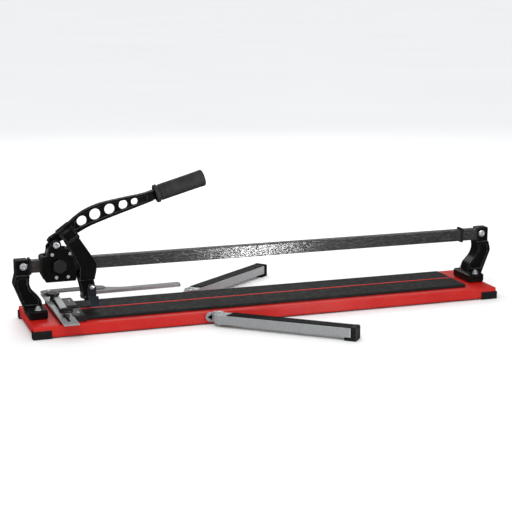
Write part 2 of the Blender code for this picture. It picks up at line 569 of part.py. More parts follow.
def lever_outline():
    x0, z0 = PIVOT
    belly = [(x0 + 36 * MM, z0 + 17 * MM), (-567 * MM, 273 * MM), (-529 * MM, 291.5 * MM),
             (-462 * MM, 314.5 * MM), (-389 * MM, 338 * MM), (-343 * MM, 353 * MM)]
    back = [(-346 * MM, 382.5 * MM), (-375 * MM, 374.5 * MM), (-434 * MM, 365.5 * MM),
            (-493 * MM, 355.5 * MM),
            (-523 * MM, 346.5 * MM), (-552 * MM, 333.5 * MM), (-581 * MM, 313.5 * MM), (-614 * MM, 284 * MM)]
    return ([(x0 + 13 * MM, z0 + 6 * MM)] + curved(belly, 3) + curved(back, 4)
            + [(-650 * MM, 263 * MM), (-657 * MM, 253 * MM)]
            + arc(PIVOT, 13 * MM, 190, 350, 8))


LEVER_HOLES = ((-555, 306, 15), (-516, 322.5, 16.5), (-473, 335, 15.5), (-432.5, 345.5, 13.5),
               (-399, 353, 10.5))


def build_lever(shop):
    lever = plate("lever", lever_outline(), -LEVER_HALF_WIDTH, LEVER_HALF_WIDTH, shop.parts, shop.black)
    low_edge = [(-578 * MM, 281 * MM), (-530 * MM, 299.5 * MM), (-462 * MM, 322 * MM), (-389 * MM, 345 * MM),
                (-361 * MM, 352.5 * MM)]
    high_edge = [(-364 * MM, 369.5 * MM), (-388 * MM, 364.5 * MM), (-434 * MM, 358.5 * MM),
                 (-491 * MM, 348.5 * MM),
                 (-520 * MM, 339.5 * MM), (-548 * MM, 326.5 * MM), (-575 * MM, 307.5 * MM)]
    inset = curved(low_edge, 3) + curved(high_edge, 3)
    for side in (-1, 1):
        low, high = sorted((side * 4.5 * MM, side * 20 * MM))
        boolean(lever, plate(f"lever_recess_{side + 1}", inset, low, high, shop.tools), "DIFFERENCE")
    for i, (x, z, r) in enumerate(LEVER_HOLES):
        hole = cylinder(f"lever_hole_{i}", r * MM, (x * MM, -30 * MM, z * MM), (x * MM, 30 * MM, z * MM),
                        shop.tools, sides=32)
        boolean(lever, hole, "DIFFERENCE")
    pivot_hole = cylinder("lever_pivot_hole", 6.3 * MM, (PIVOT[0], -60 * MM, PIVOT[1]),
                          (PIVOT[0], 60 * MM, PIVOT[1]), shop.tools, sides=20)
    axis = (GRIP_END - GRIP_START).normalized()
    length = (GRIP_END - GRIP_START).length
    spigot = cylinder("lever_spigot", 9 * MM, GRIP_START - axis * 25 * MM, GRIP_START + axis * 90 * MM,
                      shop.tools, sides=20)
    boolean(lever, spigot, "UNION")
    boolean(lever, pivot_hole, "DIFFERENCE")
    bore = 9 * MM + GAP
    profile = [(0, length), (21.5 * MM, length), (24.5 * MM, length - 4 * MM), (25 * MM, length - 10 * MM),
               (24 * MM, 15 * MM), (24.5 * MM, 9 * MM), (27 * MM, 8 * MM), (27 * MM, 0), (bore, 0),
               (bore, 91 * MM), (0, 91 * MM)]
    turned("grip", profile, GRIP_START, axis, shop.parts, shop.rubber, steps=28)
    pivot = bolt(shop, "pivot_bolt", (PIVOT[0], -CHEEK[1] - GAP, PIVOT[1]), (0, 1, 0), 6 * MM,
                 2 * CHEEK[1] + 6 * MM, 9.5 * MM, 5 * MM, sides=20)
    bevel(pivot, 0.8 * MM)


def build_breaker(shop):
    slab = [(-626 * MM, 272 * MM), (-604.5 * MM, 246 * MM), (-590 * MM, 219 * MM), (-570 * MM, 176 * MM),
            (-571 * MM, 137 * MM), (-529 * MM, 139 * MM), (-523 * MM, 165 * MM), (-522 * MM, 184 * MM),
            (-526 * MM, 195 * MM), (-536 * MM, 209 * MM), (-570 * MM, 262 * MM), (-569 * MM, 268 * MM),
            (-590 * MM, 298 * MM)]
    boss = [(-626 * MM, 272 * MM), (-604.5 * MM, 246 * MM), (-569 * MM, 268 * MM), (-590 * MM, 298 * MM)]
    recess = [(-620 * MM, 272 * MM), (-603.5 * MM, 252.5 * MM), (-576 * MM, 269.5 * MM),
              (-591.5 * MM, 291.5 * MM)]
    neck = [(-563 * MM, 137.4 * MM), (-529.5 * MM, 139 * MM), (-523.5 * MM, 165 * MM),
            (-522.5 * MM, 184 * MM), (-526.5 * MM, 194 * MM), (-536 * MM, 207 * MM), (-561 * MM, 207 * MM)]
    leg = [(-571 * MM, 140 * MM), (-562 * MM, 100 * MM), (-560.5 * MM, 84 * MM), (-556 * MM, 79.5 * MM),
           (-550 * MM, 81 * MM), (-545 * MM, 87 * MM), (-537 * MM, 86 * MM), (-525 * MM, 98 * MM),
           (-524 * MM, 112 * MM), (-530 * MM, 141 * MM)]
    bridge = [(-558 * MM, 122 * MM), (-553 * MM, 100 * MM), (-543 * MM, 97 * MM), (-537 * MM, 91 * MM),
              (-528 * MM, 100 * MM), (-528 * MM, 112 * MM), (-534 * MM, 122 * MM)]
    for side, word in ((-1, "near"), (1, "far")):
        def layer(name, outline, inner, outer, collection, mat=None):
            low, high = sorted((side * inner, side * outer))
            return plate(name + "_" + word, outline, low, high, collection, mat)
        arm = layer("breaker_arm", slab, *ARM_PLATE, shop.parts, shop.black)
        boolean(arm, layer("arm_neck", neck, ARM_LEG[0], ARM_PLATE[1] - MM, shop.tools), "UNION")
        boolean(arm, layer("arm_leg", leg, ARM_LEG[0], ARM_LEG[1], shop.tools), "UNION")
        if word == "far":
            boolean(arm, layer("arm_bridge", bridge, -ARM_LEG[0] + GAP, ARM_LEG[0] + MM, shop.tools), "UNION")
        boolean(arm, layer("arm_boss", boss, LEVER_HALF_WIDTH + GAP, ARM_PLATE[1] + 2 * MM, shop.tools),
                "UNION")
        boolean(arm, layer("arm_recess", recess, ARM_PLATE[1] - 3 * MM, ARM_PLATE[1] + 9 * MM, shop.tools),
                "DIFFERENCE")
        for label, (x, z), radius in (("foot_pin_hole", FOOT_HINGE, 4.3 * MM),
                                      ("wheel_bore", WHEEL, 2.3 * MM)):
            hole = cylinder(f"{label}_{word}", radius, (x, -60 * MM, z), (x, 60 * MM, z), shop.tools,
                            sides=16)
            boolean(arm, hole, "DIFFERENCE")
    profile = [(0, 19 * MM), (2 * MM, 19 * MM), (2 * MM, 3 * MM), (5 * MM, 3 * MM), (5 * MM, 1 * MM),
               (10 * MM, 1 * MM), (WHEEL_RADIUS, 0), (10 * MM, -1 * MM), (5 * MM, -1 * MM), (5 * MM, -3 * MM),
               (2 * MM, -3 * MM), (2 * MM, -19 * MM), (0, -19 * MM)]
    turned("scoring_wheel", profile, (WHEEL[0], 0, WHEEL[1]), (0, 1, 0), shop.parts, shop.zinc, steps=32)


def build_breaker_foot(shop):
    """An inverted V of bent sheet on a pin, folded up out of the way while scoring."""
    sheet = 3.5 * MM
    half, spread = FOOT_HALF_WIDTH, 45 * MM
    bend_z, tip_z = 85 * MM, 59 * MM
    left, right = -547.5 * MM, -523 * MM
    foot = box("breaker_foot", (right - sheet, -half + MM, 67 * MM), (right, half - MM, bend_z), shop.parts,
               shop.grey)
    for side, word in ((-1, "near"), (1, "far")):
        low, high = sorted((side * (half - sheet), side * half))
        x, z = FOOT_HINGE
        ear_outline = [(left, bend_z - MM), (right, bend_z - MM), (right, z), (x + 8 * MM, z + 9 * MM),
                       (x - 8 * MM, z + 9 * MM), (left, z)]
        ear = plate("foot_ear_" + word, ear_outline, low, high, shop.tools)
        wing_outline = [(side * (half - sheet), bend_z), (side * half, bend_z), (side * spread, tip_z),
                        (side * (spread - sheet - MM), tip_z)]
        wing = plate("foot_wing_" + word, wing_outline, left + 2 * MM, right + 6 * MM, shop.tools, along="X")
        boolean(foot, ear, "UNION")
        boolean(foot, wing, "UNION")
    hole = cylinder("foot_pin_bore", 4.3 * MM, (FOOT_HINGE[0], -60 * MM, FOOT_HINGE[1]),
                    (FOOT_HINGE[0], 60 * MM, FOOT_HINGE[1]), shop.tools, sides=16)
    boolean(foot, hole, "DIFFERENCE")
    bolt(shop, "foot_pin", (FOOT_HINGE[0], -half - GAP, FOOT_HINGE[1]), (0, 1, 0), 4 * MM, 2 * half + 5 * MM,
         7 * MM, 4 * MM)


def main():
    for obj in list(bpy.data.objects):
        bpy.data.objects.remove(obj)
    shop = Shop()
    build_base(shop)
    build_corner_feet(shop)
    build_posts(shop)
    build_rail(shop)
    build_fence(shop)
    build_arms(shop)
    build_carriage(shop)
    build_lever(shop)
    build_breaker(shop)
    build_breaker_foot(shop)
    for obj in shop.parts.objects:
        smooth(obj)


main()
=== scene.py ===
"""Looks for the tile cutter: materials, small parts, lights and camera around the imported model."""
import json
import math

import bmesh
import bpy
from mathutils import Matrix, Vector


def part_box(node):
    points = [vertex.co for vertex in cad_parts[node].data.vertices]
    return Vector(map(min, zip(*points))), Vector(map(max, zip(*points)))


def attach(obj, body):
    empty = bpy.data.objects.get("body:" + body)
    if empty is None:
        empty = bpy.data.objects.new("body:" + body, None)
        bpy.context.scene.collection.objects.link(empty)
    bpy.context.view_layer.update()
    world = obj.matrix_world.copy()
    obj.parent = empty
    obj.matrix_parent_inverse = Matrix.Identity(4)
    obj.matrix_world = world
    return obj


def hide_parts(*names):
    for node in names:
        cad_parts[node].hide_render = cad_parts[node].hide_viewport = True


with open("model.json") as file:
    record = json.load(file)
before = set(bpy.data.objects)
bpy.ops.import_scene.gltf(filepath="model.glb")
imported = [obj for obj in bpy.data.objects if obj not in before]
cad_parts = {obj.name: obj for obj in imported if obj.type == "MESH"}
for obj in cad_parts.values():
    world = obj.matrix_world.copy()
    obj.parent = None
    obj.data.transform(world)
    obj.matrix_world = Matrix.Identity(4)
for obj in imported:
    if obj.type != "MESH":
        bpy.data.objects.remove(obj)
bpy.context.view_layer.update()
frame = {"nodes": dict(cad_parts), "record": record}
SLOTS = {part["node"]: part["material_slot"] for part in frame["record"]["subparts"]}
BODIES = {node: body for body, nodes in frame["record"]["behaviour"]["bodies"].items() for node in nodes}
MM = 0.001

# Sizes of the CAD pieces that new pieces join, as in the part: lengths in millimetres, points in metres.
KNOB_DISC = 9.0
KNOB_SHOULDER = 12.6
KNOB_STUD = 24.0
KNOB_NECKS = {"near": 6.0, "far": 9.4}
ARM_OPEN = {"near": math.radians(40), "far": math.radians(38)}
ARM_LENGTH = 397
FENCE_SKEW = math.radians(2)
FENCE_REACH = (-4, 155)
FENCE_EDGE = 17.4
STRIP_START = 26.0
STRIP_SLANT = 0.24
STRIP_EDGE = 19.0
STRIP_RIBS = 9
STRIP_PITCH = 4.4
CAP_RIBS = 5
CAP_PITCH = 7
CAP_FACE = ARM_LENGTH + 17.9
RECESS = ((-221.5, 23), (-213.5, 12), (-205.7, 12), (-205.7, 34), (-213.5, 34))
RECESS_DEPTHS = (0.2, 1.4)
GRIP_START = Vector((-0.337, 0, 0.3705))
GRIP_END = Vector((-0.1895, 0, 0.412))

# Where two finishes change over, in metres: the folded sides of the stop plates, and where the rail turns
# browner and darker towards its left end.
PLATE_SIDES = (0.0972, 0.0982)
RAIL_LEFT_END_TONE = (-0.30, -0.62)

# The stage: each lamp's place, target, size and power.
LAMPS = {
    "key": ((-1.9, -2.4, 3.0), (0, 0, 0.1), (1.6, 1.0), 42),
    "back": ((0.8, 3.0, 2.2), (0, 0, 0.1), (3.0, 0.8), 38),
    "front_gloss": ((1.9, -4.9, 0.9), (0.15, 0, 0.18), (0.30, 0.55), 55),
    "rail_glint": ((0.20, -0.70, 0.05), (0.0, 0, 0.18), (0.20, 0.06), 3.0),
}
GLOSS_ONLY = ("front_gloss", "rail_glint")
CAMERA_PLACE = (-1.2995, -3.6776, 1.0234)
CAMERA_DOWN = math.radians(12.463)
CAMERA_TURN = math.radians(-19.106)
CAMERA_SENSOR = 36
CAMERA_FOCAL = CAMERA_SENSOR * 1320.5 / 512
FLOOR_MIRRORED = (0.045, 0.045, 0.05)
SKY_EVEN = 1.0
SKY_BAND = 0.50
SKY_TOP = 0.22
SKY_BEHIND = 0.22


# ---------------------------------------------------------------- materials

class Shader:
    """A small helper that wires one Principled material."""

    def __init__(self, name):
        self.mat = bpy.data.materials.new(name)
        self.mat.use_nodes = True
        self.tree = self.mat.node_tree
        self.bsdf = self.tree.nodes["Principled BSDF"]
        coords = self.tree.nodes.new("ShaderNodeTexCoord")
        self.place = coords.outputs["Object"]

    def link(self, source, target):
        """Wires an output to an input."""
        self.tree.links.new(source, target)

    def node(self, kind, inputs=None, **settings):
        """A new node with its inputs linked or set, and its settings."""
        made = self.tree.nodes.new(kind)
        for key, value in settings.items():
            setattr(made, key, value)
        for key, value in (inputs or {}).items():
            socket = made.inputs[key]
            if isinstance(value, bpy.types.NodeSocket):
                self.link(value, socket)
            else:
                socket.default_value = value
        return made

    def stretched(self, scale, turn=(0, 0, 0)):
        """The object's own coordinates, turned and then scaled."""
        spin = self.node("ShaderNodeMapping", {"Vector": self.place, "Rotation": turn}).outputs["Vector"]
        return self.node("ShaderNodeMapping", {"Vector": spin, "Scale": scale}).outputs["Vector"]

    def noise(self, scale, detail=3.0, rough=0.55, vector=None):
        return self.node("ShaderNodeTexNoise", {"Vector": vector or self.place, "Scale": scale,
                                                "Detail": detail, "Roughness": rough}).outputs["Fac"]

    def cells(self, scale, feature="F1", vector=None):
        return self.node("ShaderNodeTexVoronoi", {"Vector": vector or self.place, "Scale": scale},
                         feature=feature).outputs["Distance"]

    def spread(self, value, low, high, to_low=0.0, to_high=1.0):
        """Maps low..high onto to_low..to_high."""
        return self.node("ShaderNodeMapRange", {"Value": value, "From Min": low, "From Max": high,
                                                "To Min": to_low, "To Max": to_high}).outputs["Result"]

    def math(self, kind, a, b=0.0):
        return self.node("ShaderNodeMath", {0: a, 1: b}, operation=kind, use_clamp=True).outputs["Value"]

    def blend(self, factor, a, b):
        """Mixes two colours by a factor."""
        made = self.node("ShaderNodeMix", data_type="RGBA")
        for socket, value in zip((made.inputs[0], made.inputs[6], made.inputs[7]), (factor, a, b)):
            if isinstance(value, bpy.types.NodeSocket):
                self.link(value, socket)
            elif isinstance(value, float):
                socket.default_value = value
            else:
                socket.default_value = (*value, 1.0)
        return made.outputs[2]

    def edge(self, radius, low=0.02, high=0.25):
        """A mask that is 1 along sharp edges: where the rounded normal leaves the true one."""
        soft = self.node("ShaderNodeBevel", {"Radius": radius}, samples=6).outputs["Normal"]
        flat = self.node("ShaderNodeNewGeometry").outputs["Normal"]
        dot = self.node("ShaderNodeVectorMath", {0: soft, 1: flat}, operation="DOT_PRODUCT").outputs["Value"]
        return self.spread(dot, 1.0 - low, 1.0 - high)

    def soft_normal(self, radius):
        """The normal with its edges rounded."""
        return self.node("ShaderNodeBevel", {"Radius": radius}, samples=6).outputs["Normal"]

    def bump(self, height, strength, distance, normal=None):
        inputs = {"Height": height, "Strength": strength, "Distance": distance}
        if normal is not None:
            inputs["Normal"] = normal
        return self.node("ShaderNodeBump", inputs).outputs["Normal"]

    def done(self, color=None, rough=None, normal=None, **values):
        """Wires the finished maps to the Principled shader and sets its other values."""
        for socket, value in (("Base Color", color), ("Roughness", rough), ("Normal", normal)):
            if value is not None:
                self.link(value, self.bsdf.inputs[socket])
        for key, value in values.items():
            self.bsdf.inputs[key.replace("_", " ")].default_value = value
        return self.mat


def red_paint():
    """Red powder coat: fine orange peel, paler edges that are partly rubbed paint and partly a painted
    highlight, and a little dust.
    """
    s = Shader("red_powder_coat")
    cloud = s.noise(7.0, 4.0)
    color = s.blend(s.spread(cloud, 0.3, 0.7), (0.50, 0.009, 0.006), (0.58, 0.014, 0.010))
    # Paler along the edges: rubbed paint in broken patches, and a painted highlight along the folds and
    # corners.
    wear_and_highlight = s.math("MULTIPLY", s.edge(1.0 * MM), s.spread(s.noise(160.0), 0.42, 0.62))
    color = s.blend(s.math("MULTIPLY", wear_and_highlight, 0.55), color, (0.78, 0.14, 0.11))
    dust = s.spread(s.noise(420.0, 6.0, 0.7), 0.62, 0.74)
    color = s.blend(s.math("MULTIPLY", dust, 0.22), color, (0.72, 0.09, 0.07))
    rough = s.spread(s.noise(30.0, 5.0), 0.3, 0.7, 0.30, 0.46)
    peel = s.bump(s.noise(520.0, 2.0), 0.16, 0.4 * MM, s.soft_normal(0.9 * MM))
    return s.done(color, rough, peel, Specular_IOR_Level=0.25, Coat_Weight=0.12, Coat_Roughness=0.16)


def pad_rubber():
    """Fine-grained rubber facing, with its edges painted paler as a highlight."""
    s = Shader("pad_rubber")
    grain = s.cells(900.0)
    cloud = s.noise(16.0, 5.0)
    color = s.blend(s.spread(cloud, 0.3, 0.7), (0.0050, 0.0052, 0.0052), (0.0092, 0.0095, 0.0093))
    color = s.blend(s.math("MULTIPLY", s.spread(grain, 0.25, 0.75), 0.5), color, (0.018, 0.019, 0.019))
    # Painted highlight: a paler line along every edge.
    color = s.blend(s.math("MULTIPLY", s.edge(0.9 * MM), 0.6), color, (0.085, 0.088, 0.088))
    rough = s.spread(s.noise(60.0, 4.0), 0.3, 0.7, 0.60, 0.78)
    normal = s.bump(grain, 0.35, 0.35 * MM, s.soft_normal(0.8 * MM))
    return s.done(color, rough, normal, Specular_IOR_Level=0.18)


def black_rubber(name, low, high):
    """Moulded rubber with a fine grain, between two base colours."""
    s = Shader(name)
    grain = s.noise(1400.0, 3.0, 0.6)
    color = s.blend(s.spread(s.noise(40.0, 4.0), 0.3, 0.7), low, high)
    # Painted highlight: a paler line along every edge.
    color = s.blend(s.math("MULTIPLY", s.edge(1.0 * MM), 0.5), color, (0.060, 0.061, 0.064))
    rough = s.spread(grain, 0.3, 0.7, 0.50, 0.72)
    normal = s.bump(grain, 0.45, 0.25 * MM, s.soft_normal(0.8 * MM))
    return s.done(color, rough, normal, Specular_IOR_Level=0.22)


def black_paint():
    """Sand-textured black paint on castings, grey in broken lines along the edges: partly rubbed paint,
    partly a painted highlight.
    """
    s = Shader("cast_black_paint")
    sand = s.noise(330.0, 5.0, 0.62)
    cloud = s.noise(35.0, 4.0)
    color = s.blend(s.spread(cloud, 0.3, 0.7), (0.0012, 0.0012, 0.0014), (0.0032, 0.0032, 0.0036))
    speck = s.spread(s.noise(620.0, 4.0, 0.7), 0.60, 0.72)
    color = s.blend(s.math("MULTIPLY", speck, 0.35), color, (0.030, 0.031, 0.033))
    # Grey along the edges: rubbed paint in broken patches, and a painted highlight that stands in for edges
    # catching the light.
    wear_and_highlight = s.math("MULTIPLY", s.edge(2.0 * MM), s.spread(s.noise(120.0, 4.0), 0.30, 0.56))
    color = s.blend(s.math("MULTIPLY", wear_and_highlight, 0.85), color, (0.20, 0.20, 0.205))
    rough = s.spread(sand, 0.3, 0.7, 0.20, 0.40)
    normal = s.bump(sand, 0.30, 0.5 * MM, s.soft_normal(1.4 * MM))
    return s.done(color, rough, normal, Specular_IOR_Level=0.14)


def black_plastic():
    """Moulded black plastic with a satin grain."""
    s = Shader("black_moulded_plastic")
    grain = s.noise(900.0, 4.0)
    color = s.blend(s.spread(s.noise(50.0), 0.3, 0.7), (0.0020, 0.0020, 0.0024), (0.0050, 0.0050, 0.0056))
    # Painted highlight: a paler line along every edge.
    color = s.blend(s.math("MULTIPLY", s.edge(0.8 * MM), 0.5), color, (0.060, 0.060, 0.064))
    rough = s.spread(grain, 0.3, 0.7, 0.34, 0.52)
    normal = s.bump(grain, 0.22, 0.2 * MM, s.soft_normal(0.8 * MM))
    return s.done(color, rough, normal)


def zinc_steel():
    """Bright zinc plating, clouded and spotted."""
    s = Shader("bright_zinc")
    cloud = s.noise(260.0, 4.0)
    color = s.blend(s.spread(cloud, 0.3, 0.7), (0.50, 0.52, 0.55), (0.74, 0.75, 0.76))
    spots = s.spread(s.cells(340.0), 0.12, 0.02)
    color = s.blend(s.math("MULTIPLY", spots, 0.5), color, (0.30, 0.30, 0.31))
    rough = s.spread(s.noise(700.0, 3.0), 0.3, 0.7, 0.16, 0.36)
    normal = s.bump(cloud, 0.22, 0.15 * MM, s.soft_normal(0.5 * MM))
    return s.done(color, rough, normal, Metallic=0.65)


def roller_steel():
    """Ground steel with fine turning lines."""
    s = Shader("ground_steel")
    lines = s.noise(9.0, 6.0, 0.75, s.stretched((260.0, 8.0, 260.0)))
    color = s.blend(s.spread(lines, 0.3, 0.7), (0.40, 0.41, 0.43), (0.66, 0.67, 0.69))
    rough = s.spread(lines, 0.3, 0.7, 0.18, 0.36)
    return s.done(color, rough, s.bump(lines, 0.2, 0.1 * MM, s.soft_normal(0.5 * MM)), Metallic=1.0)


def rail_steel():
    """Hammered dark lacquer over steel: fine drawn-out bumps, bright flecks and edges painted pale as a
    highlight.
    """
    s = Shader("hammered_rail")
    wide = s.stretched((0.32, 1.0, 1.0))
    dimples = s.cells(260.0, "SMOOTH_F1", wide)
    fine = s.noise(300.0, 4.0, 0.7, wide)
    fleck = s.spread(s.noise(260.0, 3.0, 0.65, wide), 0.52, 0.60)
    color = s.blend(s.spread(fine, 0.3, 0.7), (0.006, 0.006, 0.0065), (0.024, 0.0245, 0.026))
    color = s.blend(s.math("MULTIPLY", fleck, 0.50), color, (0.090, 0.095, 0.105))
    along = s.node("ShaderNodeSeparateXYZ", {"Vector": s.place}).outputs["X"]
    # Browner and darker towards the left end of the rail.
    left_end_brown = s.math("MULTIPLY", s.spread(along, *RAIL_LEFT_END_TONE), 0.75)
    color = s.blend(left_end_brown, color, (0.022, 0.016, 0.012))
    # Painted highlight: a pale grey line along every edge.
    color = s.blend(s.math("MULTIPLY", s.edge(1.2 * MM), 0.75), color, (0.42, 0.43, 0.45))
    rough = s.spread(fine, 0.3, 0.7, 0.42, 0.60)
    height = s.math("ADD", s.math("MULTIPLY", dimples, 0.8), s.math("MULTIPLY", fine, 0.5))
    normal = s.bump(height, 1.0, 0.80 * MM, s.soft_normal(1.2 * MM))
    s.link(normal, s.bsdf.inputs["Coat Normal"])
    return s.done(color, rough, normal, Specular_IOR_Level=0.3, Coat_Weight=1.0, Coat_Roughness=0.12)


def grey_steel():
    """Speckled grey steel, painted black on the faces that fold down over the bed."""
    s = Shader("stop_plate_steel")
    speck = s.noise(500.0, 5.0, 0.7)
    color = s.blend(s.spread(speck, 0.3, 0.7), (0.026, 0.028, 0.028), (0.066, 0.069, 0.067))
    side = s.node("ShaderNodeSeparateXYZ", {"Vector": s.place}).outputs["Y"]
    reach = s.node("ShaderNodeMath", {0: side}, operation="ABSOLUTE").outputs["Value"]
    color = s.blend(s.spread(reach, *PLATE_SIDES), color, (0.012, 0.012, 0.013))
    # Painted highlight: a pale grey line along every edge.
    color = s.blend(s.math("MULTIPLY", s.edge(0.8 * MM), 0.55), color, (0.42, 0.43, 0.43))
    rough = s.spread(speck, 0.3, 0.7, 0.34, 0.50)
    normal = s.bump(speck, 0.30, 0.2 * MM, s.soft_normal(0.8 * MM))
    return s.done(color, rough, normal, Metallic=0.4)


def dark_steel():
    """Dark oiled sheet steel with bends painted paler as a highlight, and drawn streaks."""
    s = Shader("blued_sheet_steel")
    cloud = s.noise(60.0, 5.0)
    color = s.blend(s.spread(cloud, 0.3, 0.7), (0.0070, 0.0095, 0.0150), (0.020, 0.026, 0.038))
    # Painted highlight: a paler line along every bend and edge.
    color = s.blend(s.math("MULTIPLY", s.edge(1.6 * MM), 0.8), color, (0.34, 0.36, 0.39))
    streak = s.noise(12.0, 5.0, 0.7, s.stretched((60.0, 60.0, 6.0)))
    color = s.blend(s.math("MULTIPLY", s.spread(streak, 0.55, 0.75), 0.2), color, (0.07, 0.08, 0.095))
    rough = s.spread(streak, 0.3, 0.7, 0.22, 0.42)
    normal = s.bump(s.noise(400.0), 0.15, 0.2 * MM, s.soft_normal(0.9 * MM))
    return s.done(color, rough, normal, Metallic=0.5, Coat_Weight=0.3, Coat_Roughness=0.2)


def aluminium(name, turn, tone=1.0):
    """Satin anodised aluminium, brushed along local X after turning the coordinates by -turn about Z."""
    def shade(*values):
        return tuple(tone * value for value in values)

    s = Shader(name)
    lines = s.noise(14.0, 6.0, 0.72, s.stretched((4.0, 150.0, 150.0), (0, 0, -turn)))
    cloud = s.noise(22.0, 4.0)
    color = s.blend(s.spread(lines, 0.3, 0.7), shade(0.36, 0.37, 0.375), shade(0.50, 0.51, 0.515))
    color = s.blend(s.math("MULTIPLY", s.spread(cloud, 0.45, 0.75), 0.35), color, shade(0.31, 0.32, 0.33))
    grime = s.math("MULTIPLY", s.spread(s.noise(240.0, 5.0, 0.7), 0.52, 0.70), 0.6)
    color = s.blend(grime, color, shade(0.20, 0.20, 0.20))
    # Painted highlight: a near-white line along every edge.
    color = s.blend(s.math("MULTIPLY", s.edge(1.0 * MM), 0.85), color, (0.92, 0.93, 0.94))
    rough = s.spread(lines, 0.3, 0.7, 0.28, 0.44)
    normal = s.bump(lines, 0.25, 0.12 * MM, s.soft_normal(0.6 * MM))
    return s.done(color, rough, normal, Metallic=0.45)


FINISH = {
    "red_paint": red_paint(),
    "pad_rubber": pad_rubber(),
    "black_rubber": black_rubber("moulded_rubber", (0.0045, 0.0045, 0.0050), (0.0105, 0.0105, 0.0112)),
    "black_paint": black_paint(),
    "black_plastic": black_plastic(),
    "zinc_steel": zinc_steel(),
    "roller_steel": roller_steel(),
    "rail_steel": rail_steel(),
    "grey_steel": grey_steel(),
    "dark_steel": dark_steel(),
    "aluminium": aluminium("brushed_aluminium", math.pi / 2),
}
CAP_RUBBER = black_rubber("cap_rubber", (0.0012, 0.0012, 0.0014), (0.0040, 0.0040, 0.0044))
SPECIAL = {
    "arm_end_cap_near": CAP_RUBBER,
    "arm_end_cap_far": CAP_RUBBER,
    # The grip's rubber is made about four times lighter than the other black rubber: painted light, standing
    # in for the sheen on its lit top.
    "grip": black_rubber("grip_rubber_painted_sheen", (0.020, 0.020, 0.021), (0.036, 0.036, 0.038)),
    # Both arms are the same aluminium; the far arm's copy is made lighter (1.5 against 1.08): painted light,
    # for the light that falls on it.
    "arm_tube_near": aluminium("arm_aluminium_near", -ARM_OPEN["near"], 1.08),
    "arm_tube_far": aluminium("arm_aluminium_far_painted_light", ARM_OPEN["far"], 1.5),
    "fence_bar": aluminium("fence_aluminium", 0.0, 0.36),
    "fence_rule": aluminium("rule_aluminium", 0.0, 0.65),
}


def finish_cad():
    """Gives every CAD node its procedural material."""
    for name, slot in SLOTS.items():
        node = frame["nodes"][name]
        material = SPECIAL.get(name, FINISH[slot])
        for place in node.material_slots:
            place.material = material


# ---------------------------------------------------------------- light, floor and camera

def lamp(name, place, target, size, power):
    """A rectangular lamp that faces its target."""
    data = bpy.data.lights.new(name, "AREA")
    data.shape = "RECTANGLE"
    data.size, data.size_y = size
    data.energy = power
    obj = bpy.data.objects.new(name, data)
    bpy.context.scene.collection.objects.link(obj)
    obj.location = place
    obj.rotation_euler = (Vector(target) - Vector(place)).to_track_quat("-Z", "Y").to_euler()
    return obj


def build_floor():
    """A white floor that shows white and lights the object, but mirrors as a darker one."""
    bpy.ops.mesh.primitive_plane_add(size=160, location=(0, 0, 0))
    floor = bpy.context.object
    floor.name = "studio_floor"
    s = Shader("studio_white")
    tone = s.blend(s.spread(s.noise(0.6), 0.3, 0.7), (0.90, 0.90, 0.90), (0.92, 0.92, 0.92))
    rays = s.node("ShaderNodeLightPath").outputs["Is Glossy Ray"]
    tone = s.blend(rays, tone, FLOOR_MIRRORED)
    rough = s.spread(s.noise(4.0), 0.3, 0.7, 0.85, 0.95)
    floor.data.materials.append(s.done(tone, rough, Specular_IOR_Level=0.1))


def build_world():
    """Even soft light. Mirrors see a bright band at the horizon under a dimmer sky, dim behind the object."""
    world = bpy.data.worlds.new("studio")
    bpy.context.scene.world = world
    world.use_nodes = True
    tree = world.node_tree
    back = tree.nodes["Background"]
    back.inputs["Color"].default_value = (0.98, 0.99, 1.0, 1)
    coords = tree.nodes.new("ShaderNodeTexCoord")
    split = tree.nodes.new("ShaderNodeSeparateXYZ")
    sky = tree.nodes.new("ShaderNodeMapRange")
    rays = tree.nodes.new("ShaderNodeLightPath")
    mix = tree.nodes.new("ShaderNodeMix")
    behind = tree.nodes.new("ShaderNodeMapRange")
    product = tree.nodes.new("ShaderNodeMath")
    product.operation = "MULTIPLY"
    for name, value in (("From Min", -0.1), ("From Max", 0.4), ("To Min", 1.0), ("To Max", SKY_BEHIND)):
        behind.inputs[name].default_value = value
    for name, value in (("From Min", 0.18), ("From Max", 0.6), ("To Min", SKY_BAND), ("To Max", SKY_TOP)):
        sky.inputs[name].default_value = value
    mix.inputs["A"].default_value = SKY_EVEN
    tree.links.new(coords.outputs["Generated"], split.inputs["Vector"])
    tree.links.new(split.outputs["Z"], sky.inputs["Value"])
    tree.links.new(rays.outputs["Is Glossy Ray"], mix.inputs["Factor"])
    tree.links.new(split.outputs["Y"], behind.inputs["Value"])
    tree.links.new(sky.outputs["Result"], product.inputs[0])
    tree.links.new(behind.outputs["Result"], product.inputs[1])
    tree.links.new(product.outputs["Value"], mix.inputs["B"])
    tree.links.new(mix.outputs["Result"], back.inputs["Strength"])


def build_stage():
    """Floor, world and lamps. The last two lamps only make gloss, on the fasteners and on the rail."""
    bpy.context.scene.view_settings.view_transform = "Standard"
    build_floor()
    build_world()
    for name, (place, target, size, power) in LAMPS.items():
        made = lamp(name, place, target, size, power)
        if name in GLOSS_ONLY:
            made.visible_diffuse = False
            made.visible_camera = False


def build_camera():
    """The photograph's viewpoint, to the left of the middle and a little above."""
    data = bpy.data.cameras.new("camera")
    data.sensor_width = CAMERA_SENSOR
    data.lens = CAMERA_FOCAL
    data.clip_end = 500
    obj = bpy.data.objects.new("camera", data)
    bpy.context.scene.collection.objects.link(obj)
    obj.location = CAMERA_PLACE
    obj.rotation_euler = (math.pi / 2 - CAMERA_DOWN, 0, CAMERA_TURN)
    bpy.context.scene.camera = obj


# ---------------------------------------------------------------- small parts

